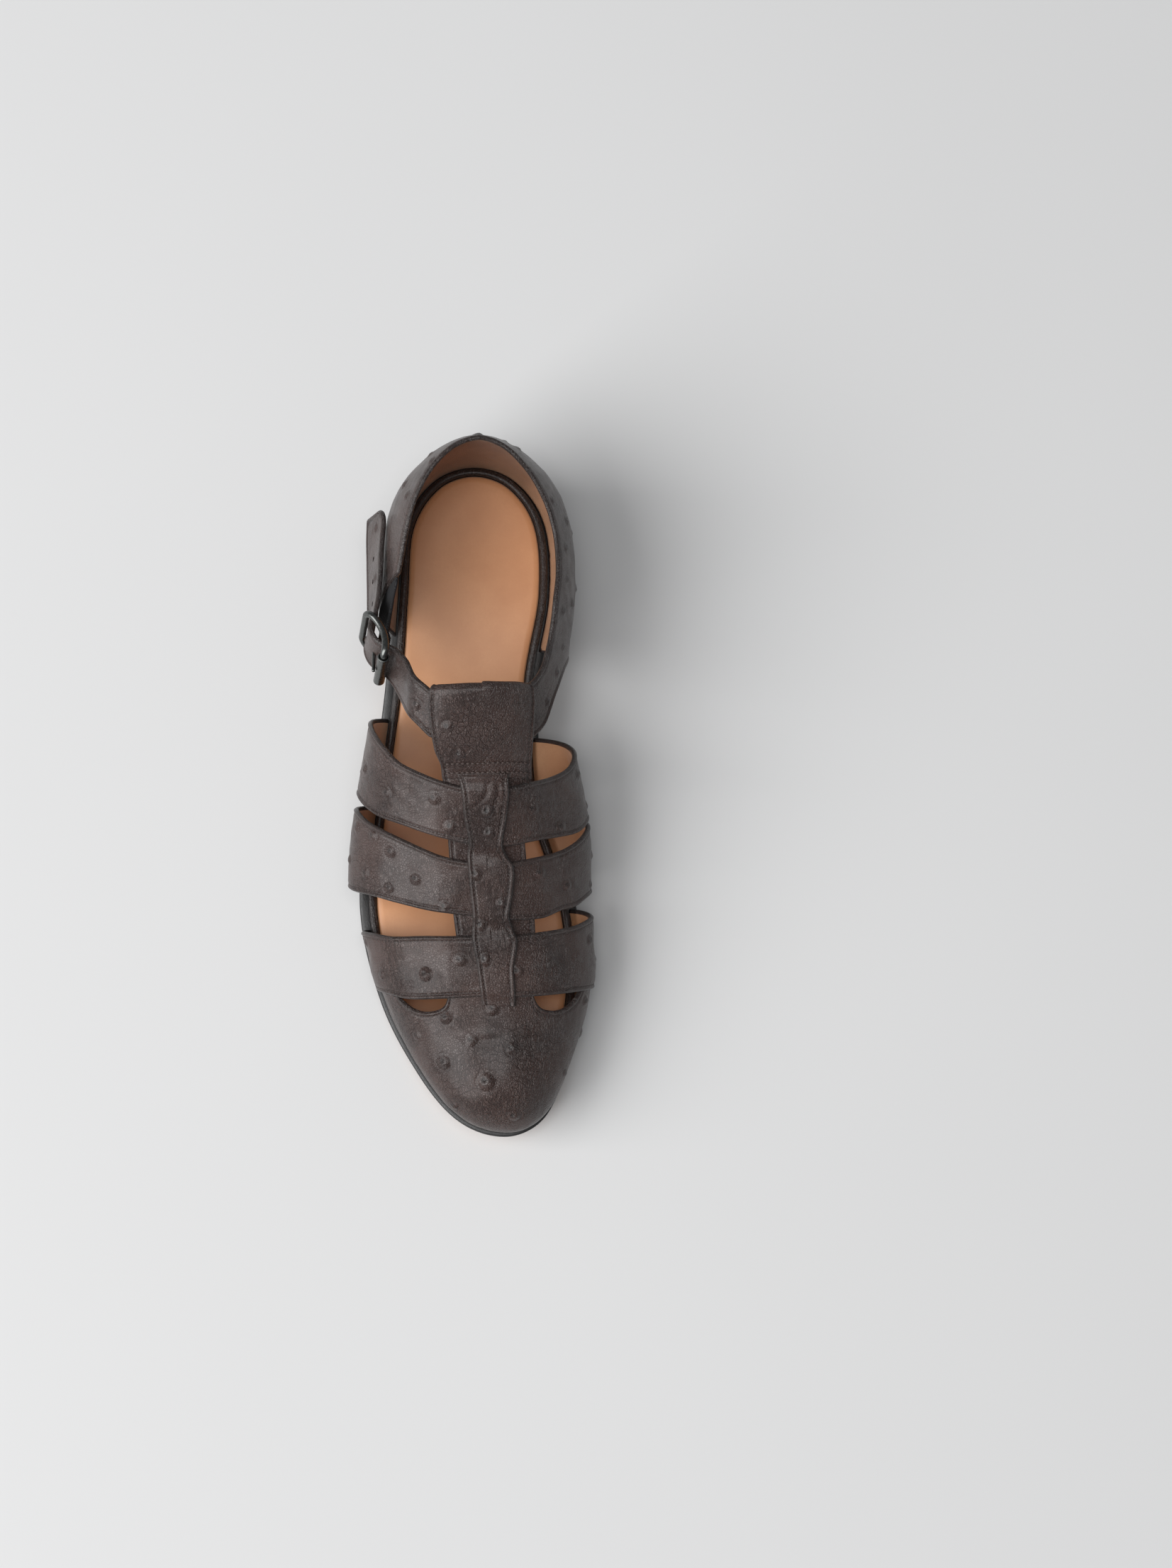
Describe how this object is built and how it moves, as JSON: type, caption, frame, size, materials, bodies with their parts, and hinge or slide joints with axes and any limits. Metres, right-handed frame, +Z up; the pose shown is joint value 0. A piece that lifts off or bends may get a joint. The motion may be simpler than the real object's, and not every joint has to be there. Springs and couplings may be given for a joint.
{
  "type": "gurkha sandal",
  "caption": "Right gurkha sandal with woven straps, closed toe and heel, side buckle and stacked heel.",
  "frame": {"origin": "on the floor under the middle of the heel, on the heel's ground face", "axes": "+Z up, +Y from toe to heel, +X toward the medial side of the right foot"},
  "size_m": [0.1039, 0.2923, 0.0949],
  "materials": {
    "upper_leather": "dark brown quill leather, soft sheen",
    "sole_leather": "natural veg-tanned sole leather",
    "lining_leather": "smooth tan lining leather",
    "edge_leather": "black waxed edge",
    "heel_rubber": "matt black rubber",
    "buckle_metal": "dark gunmetal",
    "elastic_webbing": "black ribbed elastic"
  },
  "bodies": {
    "root": {"outsole": "sole_leather", "welt": "edge_leather", "filler": "sole_leather", "heel_stack": "edge_leather", "heel_top_leather": "sole_leather", "heel_top_rubber": "heel_rubber", "insole": "lining_leather", "insole_binding": "upper_leather", "upper": "upper_leather", "buckle_frame": "buckle_metal", "buckle_roller": "buckle_metal", "buckle_prong": "buckle_metal", "elastic": "elastic_webbing"}
  },
  "joints": []
}
